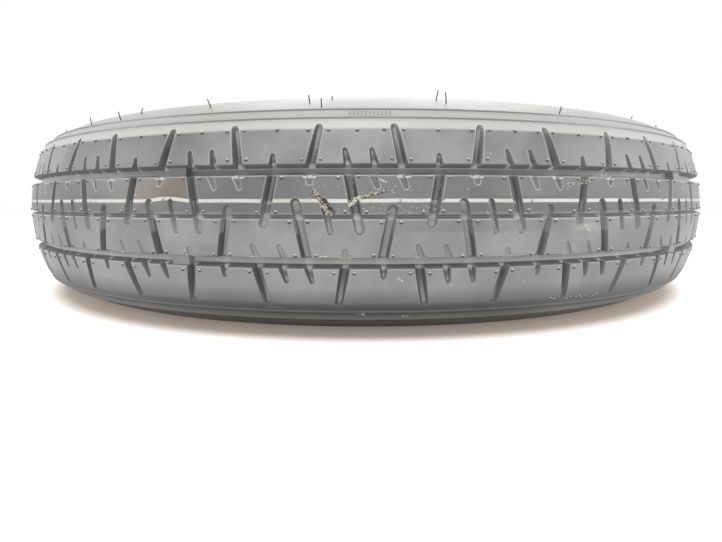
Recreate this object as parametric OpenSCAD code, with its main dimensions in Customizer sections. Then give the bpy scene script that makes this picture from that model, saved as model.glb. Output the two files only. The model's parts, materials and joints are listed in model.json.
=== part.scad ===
// Temporary spare wheel: a narrow tyre on a welded steel wheel, with its snap-in valve.
// It lies on its inner side. Z is the wheel's axis and points out of the outer face.
// The origin is the wheel's centre, on the axis and midway between the rim's flanges.

/* [Tyre] */
// Overall diameter of the tyre
tyre_od = 581; // [570:1:600]
// Section width between the sidewalls
section_w = 125; // [121:1:132]
// Width of the tread between its shoulder corners
tread_w = 84; // [80:1:88]
// Radius of the crown across the tread
crown_r = 120; // [100:5:200]
// Thickness of the tyre under the crown, grooves included
crown_t = 11.5; // [10:0.5:14]
// Thickness of the sidewall at its widest point
side_t = 6.5; // [5:0.5:8]
// Width of the bead base
bead_w = 16; // [13:0.5:18]

/* [Tread] */
// Number of block pairs round the tread
block_pairs = 23; // [18:1:28]
// Distance from the tread centre to the middle of each wide groove
main_groove_z = 22.1; // [21:0.1:23]
// Width of the wide grooves
main_groove_w = 5; // [3.5:0.25:6]
// Depth of the wide grooves
main_groove_d = 5; // [3.5:0.25:6]
// Width of the thin centre groove
centre_groove_w = 1.9; // [1:0.1:3]
// Depth of the thin centre groove
centre_groove_d = 3.5; // [2:0.25:5]
// Width of the cross grooves
cross_w = 4.2; // [2.5:0.1:5]
// Depth of the cross grooves
cross_d = 4.5; // [3:0.25:5.5]
// Width of the short blind slots
slot_w = 2.8; // [1.5:0.1:3.5]
// Depth of the blind slots in the shoulder ribs and the centre
slot_d = 3.5; // [2:0.25:5]
// Depth of the shallow slots in the edges of the centre ribs
shallow_d = 1.2; // [0.8:0.1:3]
// Height of the two fine ribs round each shoulder
line_h = 0.7; // [0.2:0.1:1]

/* [Rim] */
// Diameter of the bead seat
rim_d = 380.2; // [376:0.2:384]
// Width between the rim flanges
rim_w = 88.9; // [84:0.1:94]
// Thickness of the rim's sheet
rim_t = 2.6; // [2:0.1:3.2]
// Height of the flanges above the bead seat
flange_h = 17.3; // [15:0.1:18]
// Radius of the rolled flange
flange_rad = 9.5; // [8.5:0.1:10]
// Width of each bead seat
seat_w = 19.8; // [19:0.1:21]
// Depth of the well below the bead seat
well_depth = 18; // [15:0.5:20]
// Run of the outer well wall along the axis, where the valve stands
well_run = 12; // [11:0.2:13]
// Run of the inner well wall along the axis
well_run_in = 7; // [6.6:0.2:9]
// Distance from the rim's middle out to the hub face
wheel_offset = 35; // [32:1:38]

/* [Disc] */
// Thickness of the pressed disc
disc_t = 4; // [3:0.25:5]
// Diameter of the centre bore
bore_d = 63.4; // [54:0.1:66]
// Height of the lip round the centre bore
lip_h = 12; // [10:0.5:13]
// Diameter of the bolt circle
bolt_circle = 108; // [104:0.5:112]
// Number of bolt holes
bolt_count = 4; // [3:1:5]
// Diameter of the bolt holes
bolt_hole_d = 14.5; // [12:0.1:16]
// Diameter of the flat hub face
hub_face_d = 152; // [150:1:158]
// Height of the ring-shaped crown above the hub face
hat_h = 14; // [8:0.5:16]
// Diameter of the crown's inner edge
hat_in_d = 180; // [178:1:190]
// Diameter of the crown's outer edge
hat_out_d = 236; // [226:1:244]
// Length of the skirt that fits in the rim's well
skirt_l = 12; // [10:0.5:13]
// Number of vent holes
vent_count = 8; // [6:1:12]
// Diameter of the vent holes
vent_d = 22; // [16:1:26]
// Diameter of the circle of vent holes
vent_circle = 284; // [278:1:290]
// Length of each weld leg
weld_leg = 3.2; // [2.5:0.1:4]
// Angle that each weld covers
weld_arc = 24; // [15:1:40]

/* [Valve] */
// Diameter of the hole for the valve
valve_hole_d = 11.5; // [11:0.1:12]
// Length of the valve's rubber outside the rim
rubber_l = 24; // [22:0.5:26]
// Length of bare thread above the rubber
thread_l = 10; // [9:0.5:12]
// Diameter of the valve's outer thread
thread_d = 7.7; // [7.5:0.05:8]
// Diameter of the cap
cap_d = 10.4; // [10:0.1:12]
// Diameter of the valve's pin
pin_d = 1; // [0.8:0.05:1.2]
// Travel of the valve's pin
pin_travel = 1.5; // [1:0.1:2]

/* [Hidden] */
$fn = 96;

// Clearances
bead_gap = 0.1;
weld_gap = 0.05;
disc_gap = 0.1;
rubber_gap = 0.05;
metal_gap = 0.05;

// Derived sizes of the tyre and rim
tyre_r = tyre_od / 2;
half_section = section_w / 2;
half_tread = tread_w / 2;
rim_r = rim_d / 2;
rim_half = rim_w / 2;
bulge_r = (tyre_r + rim_r) / 2 + 3;
seat_taper = 5;
heel_rad = 6.5;
seat_end = rim_half - seat_w;
flange_c = [rim_r + flange_h - flange_rad, rim_half + flange_rad];
hump_h = 0.3;
hump_z = seat_end - 4.15;
well_r = rim_r - well_depth;
well_in_r = well_r - rim_t;
well_z = hump_z - well_run;
well_in_z = well_run_in - hump_z;

// Curves of a section, as lists of [radius, height]
function along(a, b, t) = a + (b - a) * t;
function bezier_at(p, t) =
    pow(1 - t, 3) * p[0] + 3 * t * pow(1 - t, 2) * p[1]
    + 3 * t * t * (1 - t) * p[2] + pow(t, 3) * p[3];
function bezier(p, n, first = 0) = [for (i = [first:n]) bezier_at(p, i / n)];
function unit(v) = v / norm(v);
function left_of(v) = [-v[1], v[0]];
function bezier_left(p, t) = left_of(unit(bezier_at(p, t + 0.01) - bezier_at(p, t - 0.01)));
function arc(c, r, from, to, n) =
    [for (i = [0:n]) let (a = along(from, to, i / n)) c + r * [cos(a), sin(a)]];
function reversed(list) = [for (i = [len(list) - 1:-1:0]) list[i]];
function flipped(list) = [for (i = [len(list) - 1:-1:0]) [list[i][0], -list[i][1]]];

// One corner of a path, rounded with the given radius
function rounded_corner(a, b, c, r, n) =
    let (
        u = unit(a - b),
        v = unit(c - b),
        half = acos(u * v) / 2,
        centre = b + unit(u + v) * r / sin(half),
        start = b + u * r / tan(half) - centre,
        turn = (u[0] * v[1] - u[1] * v[0] > 0 ? -1 : 1) * (180 - 2 * half),
        a0 = atan2(start[1], start[0])
    )
    [for (i = [0:n]) centre + r * [cos(a0 + turn * i / n), sin(a0 + turn * i / n)]];

// A path through corner points [radius, height, rounding]
function rounded_path(p, n = 5) = [
    for (i = [0:len(p) - 1])
    each (i == 0 || i == len(p) - 1 || p[i][2] == 0)
        ? [[p[i][0], p[i][1]]]
        : rounded_corner(
            [p[i - 1][0], p[i - 1][1]], [p[i][0], p[i][1]], [p[i + 1][0], p[i + 1][1]], p[i][2], n)
];

// The same path, moved to its left by d
function beside(p, d) = [
    for (i = [0:len(p) - 1])
    let (
        before = unit(p[max(i, 1)] - p[max(i, 1) - 1]),
        after = unit(p[min(i + 1, len(p) - 1)] - p[min(i + 1, len(p) - 1) - 1]),
        mitre = unit(left_of(before) + left_of(after))
    )
    p[i] + mitre * d / (mitre * left_of(before))
];
function sheet_section(p, t) = concat(p, reversed(beside(p, t)));

module at_hub_face() {
    translate([0, 0, wheel_offset]) children();
}

// Tyre section
function crown(z) = tyre_r - crown_r + sqrt(crown_r * crown_r - z * z);
function crown_tilt(z) = asin(z / crown_r);
shoulder_lead = 6.5;
side_lead = 19;
shoulder_curve = [
    [crown(half_tread), half_tread],
    [crown(half_tread), half_tread]
        + shoulder_lead * [-sin(crown_tilt(half_tread)), cos(crown_tilt(half_tread))],
    [bulge_r + side_lead, half_section],
    [bulge_r, half_section]
];
flange_leave = 45;
flange_touch = flange_c
    + (flange_rad + bead_gap) * [sin(flange_leave), -cos(flange_leave)];
side_curve = [
    [bulge_r, half_section],
    [bulge_r - 16, half_section],
    flange_touch + 6 * [cos(flange_leave), sin(flange_leave)],
    flange_touch
];
function seat_r(z) = rim_r - (rim_half - heel_rad - z) * tan(seat_taper);
toe_z = rim_half - bead_w;
inner_side_z = half_section - side_t;
liner_turn_z = half_tread - 8;
function liner(z) = crown(z) - crown_t;
bead_inner_curve = [
    [rim_r + 5, toe_z],
    [rim_r + 21, toe_z + 5],
    [bulge_r - 22, inner_side_z],
    [bulge_r, inner_side_z]
];
liner_curve = [
    [bulge_r, inner_side_z],
    [bulge_r + 16, inner_side_z],
    [liner(liner_turn_z), liner_turn_z]
        + 8 * [-sin(crown_tilt(liner_turn_z)), cos(crown_tilt(liner_turn_z))],
    [liner(liner_turn_z), liner_turn_z]
];

// A fine raised line across a curve, at t
line_half = 0.02;
function raised_line(p, t) = [
    bezier_at(p, t - line_half),
    bezier_at(p, t - line_half / 3) - line_h * bezier_left(p, t),
    bezier_at(p, t + line_half / 3) - line_h * bezier_left(p, t),
    bezier_at(p, t + line_half)
];
line_1 = 0.24;
line_2 = 0.41;
shoulder_profile = concat(
    [for (t = [0.08, 0.16]) bezier_at(shoulder_curve, t)],
    raised_line(shoulder_curve, line_1),
    [bezier_at(shoulder_curve, (line_1 + line_2) / 2)],
    raised_line(shoulder_curve, line_2),
    [for (t = [0.52, 0.64, 0.76, 0.88, 1]) bezier_at(shoulder_curve, t)]
);

// Half of a wide groove's outline runs from wall to wall, with a rounded floor
function groove_outline(z, w, d, draft, round) = [
    [crown(z - w / 2), z - w / 2],
    [crown(z) - d + round, z - w / 2 + draft],
    [crown(z) - d, z - w / 2 + draft + round],
    [crown(z) - d, z + w / 2 - draft - round],
    [crown(z) - d + round, z + w / 2 - draft],
    [crown(z + w / 2), z + w / 2]
];
main_groove = groove_outline(main_groove_z, main_groove_w, main_groove_d, 0.4, 1);
centre_groove = groove_outline(0, centre_groove_w, centre_groove_d, 0.1, 0.4);
function half_crown() = concat(
    [for (p = centre_groove) if (p[1] > 0) p],
    [let (z = (centre_groove_w / 2 + main_groove_z - main_groove_w / 2) / 2) [crown(z), z]],
    main_groove,
    [let (z = (main_groove_z + main_groove_w / 2 + half_tread) / 2) [crown(z), z]],
    [[crown(half_tread), half_tread]]
);
function half_outside() = concat(
    half_crown(),
    shoulder_profile,
    bezier(side_curve, 7, 1),
    arc(flange_c, flange_rad + bead_gap, -flange_leave, -90, 3),
    arc([rim_r + heel_rad, rim_half - heel_rad], heel_rad - bead_gap, 90, 180, 4),
    [[seat_r(toe_z + 2) + bead_gap, toe_z + 2], [seat_r(toe_z) + bead_gap + 1.5, toe_z]]
);
function half_inside() = concat(
    bezier(bead_inner_curve, 6),
    bezier(liner_curve, 6, 1),
    [for (t = [0.5]) let (z = liner_turn_z * t) [liner(z), z]]
);

// Tread cuts. Angles are in degrees, counted from one cross groove of the upper shoulder
// rib; heights are above the tread's centre line.
pair_angle = 360 / block_pairs;
rib_in_z = main_groove_z - main_groove_w / 2;
rib_out_z = main_groove_z + main_groove_w / 2;
cross_lean = 0.048 * pair_angle;
long_block = 0.553 * pair_angle;
shoulder_end_z = half_tread + 2;
centre_shift = 0.104 * pair_angle;
cut_over = 4;

// A cut from [angle, height] to [angle, height], with a blunt rounded far end. Its floor follows
// the crown, and its near end is carried on so that the leaning end wall clears the groove's edge.
module cut(from, to, w, d) {
    z = (from[1] + to[1]) / 2;
    rise = crown(to[1]) - crown(from[1]);
    run = to[1] - from[1];
    way = sign(run);
    lean = atan(rise / run);
    l = norm([run, rise]) / 2;
    near = -l - max(0, -sin(lean) * way) * (d + cut_over);
    shift = tan((to[0] - from[0]) / 2) * crown(z);
    rotate([0, 0, (from[0] + to[0]) / 2])
        translate([(crown(from[1]) + crown(to[1])) / 2 - d, 0, z])
        rotate([0, lean, 0])
        rotate([90, 0, 90])
        linear_extrude(height = d + cut_over)
        polygon([
            [-shift - w / 2, near * way], [-shift + w / 2, near * way],
            [shift + w / 2, (l - w * 0.4) * way], [shift + w * 0.22, l * way],
            [shift - w * 0.22, l * way], [shift - w / 2, (l - w * 0.4) * way]
        ]);
}

// The cuts of one pair of blocks, in the upper half of the tread
module pair_cuts() {
    // Shoulder rib
    cut([0, rib_out_z - 0.5], [cross_lean, shoulder_end_z], cross_w, cross_d);
    cut([long_block, rib_out_z - 0.5], [long_block - cross_lean, shoulder_end_z], cross_w, cross_d);
    for (a = [0.23, 0.39])
        cut([a * pair_angle, rib_out_z - 0.5], [(a - 0.025) * pair_angle, rib_out_z + 7], slot_w, slot_d);
    cut([0.77 * pair_angle, rib_out_z - 0.5], [0.77 * pair_angle, rib_out_z + 5], slot_w, slot_d);
    // Centre rib, from the wide groove across the centre line
    cut([-0.223 * pair_angle, rib_in_z + 0.5], [-0.283 * pair_angle, -5.3], cross_w, cross_d);
    cut([0.23 * pair_angle, rib_in_z + 0.5], [0.298 * pair_angle, -8.2], cross_w, cross_d);
    cut([0, rib_in_z + 0.5], [0, rib_in_z - 4.7], slot_w, shallow_d);
    for (a = [0.37, 0.538])
        cut([a * pair_angle, rib_in_z + 0.5], [(a + 0.032) * pair_angle, rib_in_z - 7.2], slot_w, shallow_d);
}

// The short slot that crosses the centre line
module centre_slot() {
    cut([centre_shift, 0], [centre_shift - 0.018 * pair_angle, 8.3], slot_w, slot_d);
    cut([centre_shift, 0], [centre_shift + 0.018 * pair_angle, -8.3], slot_w, slot_d);
}

// Angle of the first cross groove, seen from the front
first_cross = -95.03;
module tread_cuts() {
    for (i = [0:block_pairs - 1])
        rotate([0, 0, first_cross + i * pair_angle]) {
            pair_cuts();
            rotate([0, 0, centre_shift]) rotate([180, 0, 0]) rotate([0, 0, -centre_shift]) pair_cuts();
            centre_slot();
        }
}

module tyre() {
    outside = half_outside();
    inside = half_inside();
    color([0.20, 0.21, 0.21]) difference() {
        rotate_extrude()
            polygon(concat(
                flipped(outside), outside,
                inside, [[liner(0), 0]], flipped(inside)
            ));
        tread_cuts();
    }
}

// Rim: one rolled strip, from the outer flange to the inner one
flange_end = 112;
function half_rim_path() = concat(
    arc(flange_c, flange_rad, flange_end - 90, -90, 9),
    arc([rim_r + heel_rad, rim_half - heel_rad], heel_rad, 90, 180, 5)
);
well_path = rounded_path([
    [seat_r(rim_half - heel_rad - 1), rim_half - heel_rad - 1, 0],
    [seat_r(seat_end), seat_end, 2],
    [rim_r + hump_h, hump_z, 4],
    [well_r, well_z, 5],
    [well_r, well_in_z, 5],
    [rim_r + hump_h, -hump_z, 3.6],
    [seat_r(seat_end), -seat_end, 2],
    [seat_r(rim_half - heel_rad - 1), 1 + heel_rad - rim_half, 0]
], 4);
rim_path = concat(half_rim_path(), well_path, flipped(half_rim_path()));

// The valve stands square on the well's outer wall
valve_tilt = atan2(well_run, well_depth + hump_h);
valve_foot = [(rim_r + hump_h + well_r) / 2, (hump_z + well_z) / 2];
valve_angle = 0;
module at_valve() {
    rotate([0, 0, valve_angle])
        translate([valve_foot[0], 0, valve_foot[1]])
        rotate([0, -valve_tilt, 0])
        translate([0, 0, rim_t])
        children();
}

module rim() {
    color([0.10, 0.10, 0.11])
        difference() {
            rotate_extrude() polygon(sheet_section(rim_path, -rim_t));
            at_valve() translate([0, 0, -rim_t - 4]) cylinder(d = valve_hole_d, h = rim_t + 8);
        }
}

// Disc: hub face, raised crown and a skirt that sits in the rim's well
skirt_out_r = well_in_r - disc_gap;
skirt_in_r = skirt_out_r - disc_t;
skirt_top = 5.6 - wheel_offset;
disc_angle = 45;
skirt_end = skirt_top - skirt_l;
disc_inner_bend = 1;
disc_path = rounded_path([
    [bore_d / 2, lip_h, 0],
    [bore_d / 2, 0, disc_t + disc_inner_bend],
    [hub_face_d / 2, 0, disc_t + 2 * disc_inner_bend],
    [hat_in_d / 2, hat_h, 8],
    [hat_out_d / 2, hat_h, 14],
    [skirt_in_r, skirt_top + 6, 9],
    [skirt_in_r, skirt_end, 0]
], 5);
seat_boss_h = 2.4;
seat_boss_r = 14;
seat_cone_r = 10.5;
module at_each_bolt() {
    for (i = [0:bolt_count - 1])
        rotate([0, 0, disc_angle + i * 360 / bolt_count])
            translate([bolt_circle / 2, 0, 0])
            children();
}
module nut_seat() {
    depth = (seat_cone_r - bolt_hole_d / 2) * 1.3;
    translate([0, 0, disc_t + seat_boss_h - depth])
        cylinder(r1 = bolt_hole_d / 2, r2 = seat_cone_r + 1 / 1.3, h = depth + 1);
}
module wheel_disc() {
    color([0.10, 0.10, 0.11]) at_hub_face() difference() {
        union() {
            rotate_extrude() polygon(sheet_section(disc_path, disc_t));
            at_each_bolt()
                translate([0, 0, disc_t - 0.5])
                cylinder(r1 = seat_boss_r, r2 = seat_boss_r - 2, h = seat_boss_h + 0.5);
        }
        at_each_bolt() {
            translate([0, 0, -1]) cylinder(d = bolt_hole_d, h = disc_t + seat_boss_h + 2);
            nut_seat();
        }
        for (i = [0:vent_count - 1])
            rotate([0, 0, (i + 0.5) * 360 / vent_count])
                translate([vent_circle / 2, 0, -wheel_offset])
                cylinder(d = vent_d, h = wheel_offset + hat_h + 10);
    }
}

module disc_welds() {
    corner = [well_in_r - weld_gap, skirt_end - weld_gap];
    color([0.14, 0.14, 0.15]) at_hub_face()
        for (i = [0:3])
            rotate([0, 0, i * 90 + disc_angle - weld_arc / 2])
                rotate_extrude(angle = weld_arc)
                polygon([
                    corner, corner - [weld_leg, 0],
                    corner - [weld_leg * 0.75, weld_leg * 0.5],
                    corner - [weld_leg * 0.3, weld_leg * 0.85],
                    corner - [0.3, weld_leg]
                ]);
}

// Valve: heights run out along the valve, from the open side of the rim's wall
stem_r = 3.1;
stem_bore_r = 1.9;
core_r = 2.5;
body_foot = -rim_t - 5.6;
rubber_top = rubber_l;
stem_top = rubber_top + thread_l;
module turned(points) {
    rotate_extrude() polygon(points);
}

module valve_body() {
    neck_r = valve_hole_d / 2 - rubber_gap;
    bore = stem_r + rubber_gap;
    color([0.05, 0.05, 0.05]) at_valve() turned([
        [bore, body_foot], [6.6, body_foot], [7.6, body_foot + 1.4], [7.6, -rim_t - 0.6],
        [7.2, -rim_t - rubber_gap], [neck_r, -rim_t - rubber_gap], [neck_r, rubber_gap],
        [6.9, rubber_gap], [7.2, 0.6], [7, 3], [6.5, 6],
        [5.7, rubber_top - 2.5], [5.2, rubber_top - 0.8], [4.4, rubber_top], [bore, rubber_top]
    ]);
}

module valve_stem() {
    collar_z = rubber_top + rubber_gap;
    color([0.72, 0.57, 0.30]) at_valve() turned([
        [stem_bore_r, body_foot], [stem_r, body_foot], [stem_r, collar_z], [thread_d / 2 - 0.4, collar_z],
        [thread_d / 2, collar_z + 0.8], [thread_d / 2, stem_top - 0.6], [thread_d / 2 - 0.6, stem_top],
        [core_r + metal_gap, stem_top], [core_r + metal_gap, plug_foot - 0.6],
        [barrel_r + metal_gap, plug_foot - 0.6], [barrel_r + metal_gap, seat_z], [stem_bore_r, seat_z]
    ]);
}

// Valve core, from the stem's top down: the plug, the barrel and the sprung pin with its cup
plug_h = 5;
plug_foot = stem_top - 0.8 - plug_h;
barrel_r = 2.1;
barrel_low_r = 1.6;
barrel_h = 7;
barrel_top = plug_foot - metal_gap;
barrel_foot = barrel_top - barrel_h;
barrel_shelf = barrel_foot + 0.8;
barrel_bore_r = 1.35;
seat_z = plug_foot - 5.2;
pin_r = pin_d / 2;
guide_r = pin_r + 0.08;
port_r = pin_r + 0.4;
collar_r = 1.1;
collar_z = barrel_shelf + 3.5;
cup_r = 1.6;
cup_h = 1.2;
cup_seal_h = 0.8;
cup_seal_z = barrel_foot - metal_gap - cup_seal_h;
cup_z = cup_seal_z - metal_gap - cup_h;
pin_foot = cup_z - metal_gap - 0.6;
pin_top = stem_top - 0.2;

module core_plug() {
    color([0.72, 0.57, 0.30]) at_valve() difference() {
        translate([0, 0, plug_foot]) cylinder(r = core_r, h = plug_h);
        translate([0, 0, plug_foot - 1]) cylinder(r = guide_r, h = plug_h + 2);
        for (side = [-1, 1])
            translate([side * core_r - 0.9, -core_r, plug_foot + plug_h - 3])
                cube([1.8, 2 * core_r, 4]);
    }
}

module core_barrel() {
    color([0.72, 0.57, 0.30]) at_valve() turned([
        [port_r, barrel_foot], [barrel_low_r, barrel_foot], [barrel_low_r, seat_z + 3],
        [barrel_r, seat_z + 3.4], [barrel_r, barrel_top], [barrel_bore_r, barrel_top],
        [barrel_bore_r, barrel_shelf], [port_r, barrel_shelf]
    ]);
}

module core_barrel_seal() {
    inner = barrel_low_r + rubber_gap;
    color([0.75, 0.12, 0.10]) at_valve() turned([
        [inner, seat_z + rubber_gap], [barrel_r - 0.1, seat_z + rubber_gap],
        [barrel_r, seat_z + 0.8], [barrel_r, seat_z + 2.4], [inner, seat_z + 2.9]
    ]);
}

module core_pin() {
    color([0.72, 0.57, 0.30]) at_valve() turned([
        [0, pin_foot], [pin_r + 0.5, pin_foot], [pin_r + 0.5, pin_foot + 0.6], [pin_r, pin_foot + 0.6],
        [pin_r, collar_z], [collar_r, collar_z], [collar_r, collar_z + 0.4], [pin_r, collar_z + 0.6],
        [pin_r, pin_top - 0.3], [pin_r - 0.2, pin_top], [0, pin_top]
    ]);
}

module core_cup() {
    bore = pin_r + metal_gap;
    color([0.72, 0.57, 0.30]) at_valve() turned([
        [bore, cup_z], [cup_r - 0.3, cup_z], [cup_r, cup_z + 0.3],
        [cup_r, cup_z + cup_h], [bore, cup_z + cup_h]
    ]);
}

module core_cup_seal() {
    color([0.05, 0.05, 0.05]) at_valve() difference() {
        translate([0, 0, cup_seal_z]) cylinder(r = cup_r, h = cup_seal_h);
        translate([0, 0, cup_seal_z - 1]) cylinder(r = pin_r + rubber_gap, h = cup_seal_h + 2);
    }
}

// The spring between the barrel's shelf and the pin's collar, as a wire swept along a helix
spring_wire = 0.17;
spring_r = pin_r + 0.15 + spring_wire;
spring_turns = 4;
spring_foot = barrel_shelf + metal_gap + spring_wire;
spring_top = collar_z - metal_gap - spring_wire;
spring_sides = 6;
spring_steps = 12 * spring_turns;
function spring_point(i, k) =
    let (
        turn = 360 * spring_turns * i / spring_steps,
        side = 360 * k / spring_sides,
        r = spring_r + spring_wire * cos(side),
        z = along(spring_foot, spring_top, i / spring_steps) + spring_wire * sin(side)
    )
    [r * cos(turn), r * sin(turn), z];
module core_spring() {
    last = spring_steps * spring_sides;
    color([0.7, 0.7, 0.72]) at_valve() polyhedron(
        [for (i = [0:spring_steps]) for (k = [0:spring_sides - 1]) spring_point(i, k)],
        concat(
            [[for (k = [0:spring_sides - 1]) k]],
            [for (i = [0:spring_steps - 1]) for (k = [0:spring_sides - 1])
                let (a = i * spring_sides, next = (k + 1) % spring_sides)
                each [
                    [a + k, a + k + spring_sides, a + next + spring_sides],
                    [a + k, a + next + spring_sides, a + next]
                ]],
            [[for (k = [spring_sides - 1:-1:0]) last + k]]
        )
    );
}

// Cap: a ribbed plastic cup with a rubber disc in its roof
cap_foot = rubber_top + 1.5;
cap_bore_r = thread_d / 2 + 0.1;
cap_seal_h = 1;
cap_roof = stem_top + 0.3 + cap_seal_h + 0.1;
cap_top = cap_roof + 1.6;
cap_ribs = 16;
module valve_cap() {
    color([0.04, 0.04, 0.04]) at_valve() difference() {
        union() {
            turned([
                [0, cap_foot], [cap_d / 2, cap_foot], [cap_d / 2, cap_foot + 0.8],
                [cap_d / 2 - 0.4, cap_foot + 1.2], [cap_d / 2 - 0.4, cap_top - 1.2],
                [cap_d / 2 - 1.5, cap_top], [0, cap_top]
            ]);
            for (i = [0:cap_ribs - 1])
                rotate([0, 0, i * 360 / cap_ribs])
                    translate([cap_d / 2 - 1, -0.3, cap_foot + 0.5])
                    cube([1, 0.6, cap_top - cap_foot - 2.3]);
        }
        translate([0, 0, cap_foot - 1]) cylinder(r = cap_bore_r, h = cap_roof - cap_foot + 1);
    }
}

module cap_seal() {
    color([0.05, 0.05, 0.05]) at_valve()
        translate([0, 0, cap_roof - 0.1 - cap_seal_h])
        cylinder(r = cap_bore_r - 0.1, h = cap_seal_h);
}

tyre();
rim();
wheel_disc();
disc_welds();
valve_body();
valve_stem();
valve_cap();
cap_seal();
core_plug();
core_barrel();
core_barrel_seal();
core_spring();
core_pin();
core_cup();
core_cup_seal();
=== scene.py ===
import json
import math
import random

import bpy
import numpy as np
from mathutils import Matrix, Vector
from mathutils.geometry import delaunay_2d_cdt


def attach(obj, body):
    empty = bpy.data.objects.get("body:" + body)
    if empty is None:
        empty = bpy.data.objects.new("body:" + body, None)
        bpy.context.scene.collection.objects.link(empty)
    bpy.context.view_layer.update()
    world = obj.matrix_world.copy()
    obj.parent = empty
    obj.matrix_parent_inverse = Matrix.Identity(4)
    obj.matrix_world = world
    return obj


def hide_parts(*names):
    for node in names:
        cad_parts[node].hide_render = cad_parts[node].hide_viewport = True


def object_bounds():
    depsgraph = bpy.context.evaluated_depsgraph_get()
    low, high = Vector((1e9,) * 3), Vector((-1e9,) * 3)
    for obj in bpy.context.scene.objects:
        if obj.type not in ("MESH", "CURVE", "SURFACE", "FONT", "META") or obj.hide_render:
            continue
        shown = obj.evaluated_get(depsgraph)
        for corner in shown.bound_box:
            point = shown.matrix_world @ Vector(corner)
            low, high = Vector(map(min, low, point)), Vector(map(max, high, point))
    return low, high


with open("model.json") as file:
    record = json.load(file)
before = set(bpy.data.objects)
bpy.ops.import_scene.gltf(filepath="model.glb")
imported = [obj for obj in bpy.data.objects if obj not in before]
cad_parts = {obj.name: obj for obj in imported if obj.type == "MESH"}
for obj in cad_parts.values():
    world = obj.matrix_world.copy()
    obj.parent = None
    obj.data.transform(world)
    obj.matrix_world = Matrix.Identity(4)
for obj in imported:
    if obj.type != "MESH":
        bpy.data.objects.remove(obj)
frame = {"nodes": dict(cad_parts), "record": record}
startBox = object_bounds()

scene = bpy.context.scene
mm = 0.001


class Wire:  # one socket of a node, so that sums on it add Math nodes
    def __init__(self, sheet, socket):
        self.sheet, self.socket = sheet, socket

    def maths(self, operation, *others):
        return self.sheet.add("ShaderNodeMath", {"operation": operation}, self, *others)

    def __add__(self, other):
        return self.maths("ADD", other)

    def __sub__(self, other):
        return self.maths("SUBTRACT", other)

    def __mul__(self, other):
        return self.maths("MULTIPLY", other)

    def __truediv__(self, other):
        return self.maths("DIVIDE", other)

    def __rsub__(self, other):
        return self.sheet.add("ShaderNodeMath", {"operation": "SUBTRACT"}, other, self)

    def __abs__(self):
        return self.maths("ABSOLUTE")

    __radd__ = __add__
    __rmul__ = __mul__


class Sheet:  # a material, or the world, with one way to add any node
    def __init__(self, owner):
        owner.use_nodes = True
        self.owner, self.tree = owner, owner.node_tree
        self.tree.nodes.clear()

    def add(self, kind, settings=None, *values, out=0, **named):
        node = self.tree.nodes.new(kind)
        for key, value in (settings or {}).items():
            setattr(node, key, value)
        sockets = [s for s in node.inputs if s.enabled]
        pairs = list(zip(sockets, values))
        for name, value in named.items():
            label = name.replace("_", " ")
            pairs.append((next(s for s in sockets if s.name == label), value))
        for socket, value in pairs:
            if isinstance(value, Wire):
                self.tree.links.new(value.socket, socket)
            else:
                isColour = socket.type == "RGBA" and len(value) == 3
                socket.default_value = (*value, 1) if isColour else value
        if isinstance(out, str):
            return Wire(self, node.outputs[out])
        shown = [s for s in node.outputs if s.enabled]
        return Wire(self, shown[out]) if shown else None

    def ownPlace(self):
        return self.add("ShaderNodeTexCoord", out="Object")

    def facing(self, axis):  # how far the surface faces along an axis, -1 to 1
        return self.add("ShaderNodeSeparateXYZ", {}, self.add("ShaderNodeTexCoord", out="Normal"), out=axis)

    def noise(self, at, scale, detail=3):
        return self.add("ShaderNodeTexNoise", {}, at, Scale=scale, Detail=detail, Roughness=0.55)

    def step(self, value, low, high):  # 0 below low, 1 above high, smooth between
        return self.add("ShaderNodeMapRange", {"interpolation_type": "SMOOTHSTEP"}, value, low, high, 0.0, 1.0)

    def band(self, value, rise, fall):  # comes in over the first two values and goes out over the other two
        return self.step(value, *rise) * (1 - self.step(value, *fall))

    def blend(self, amount, first, second):
        return self.add("ShaderNodeMix", {"data_type": "RGBA"}, Factor=amount, A=first, B=second)

    def bump(self, height, depth, strength):
        return self.add("ShaderNodeBump", {}, Strength=strength, Distance=depth, Height=height)

    def finish(self, **values):
        shader = self.add("ShaderNodeBsdfPrincipled", {}, **values)
        self.add("ShaderNodeOutputMaterial", {}, shader)
        return self.owner


def newSheet(name):
    return Sheet(bpy.data.materials.new(name))


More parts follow.
